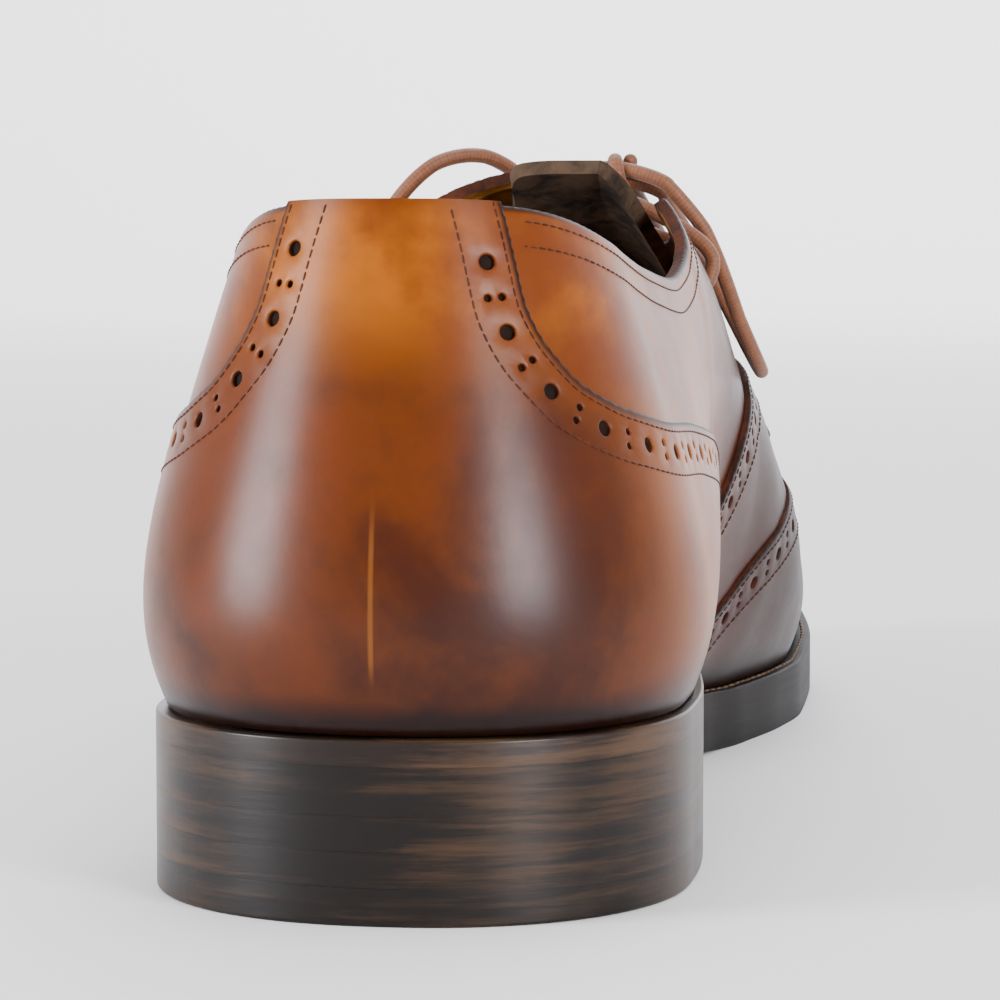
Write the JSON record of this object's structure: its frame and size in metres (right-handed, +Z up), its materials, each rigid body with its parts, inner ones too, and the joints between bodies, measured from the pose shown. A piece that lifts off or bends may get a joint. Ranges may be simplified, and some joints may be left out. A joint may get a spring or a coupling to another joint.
{
  "type": "brogue shoe",
  "caption": "Left brogue shoe in burnished tan leather: wing toe cap, counter strips with punched holes, stacked heel, leather sole and a tied round lace.",
  "frame": {"origin": "on the floor, in the middle of the shoe's box without the tied bow", "axes": "+Y towards the toe, +X towards the inner side of the foot, +Z up"},
  "size_m": [0.1022, 0.3064, 0.0993],
  "materials": {
    "tan_leather": "burnished, glossy",
    "sole_leather": "stained edge, satin",
    "dark_rubber": "matt",
    "insole_leather": "plain, matt",
    "waxed_lace": "waxed, woven"
  },
  "bodies": {
    "root": {"upper": "tan_leather", "counter": "tan_leather", "vamp": "tan_leather", "wing_cap": "tan_leather", "tongue": "tan_leather", "heel_lift_1": "sole_leather", "heel_lift_2": "sole_leather", "outsole": "sole_leather", "welt": "sole_leather", "heel_top_piece": "dark_rubber", "insole": "insole_leather", "lace_bar_1": "waxed_lace", "lace_bar_2": "waxed_lace", "lace_bar_3": "waxed_lace", "lace_bar_4": "waxed_lace", "lace_bar_5": "waxed_lace", "lace_knot": "waxed_lace", "lace_loop_outer": "waxed_lace", "lace_loop_inner": "waxed_lace", "lace_end_outer": "waxed_lace", "lace_end_inner": "waxed_lace"}
  },
  "joints": []
}
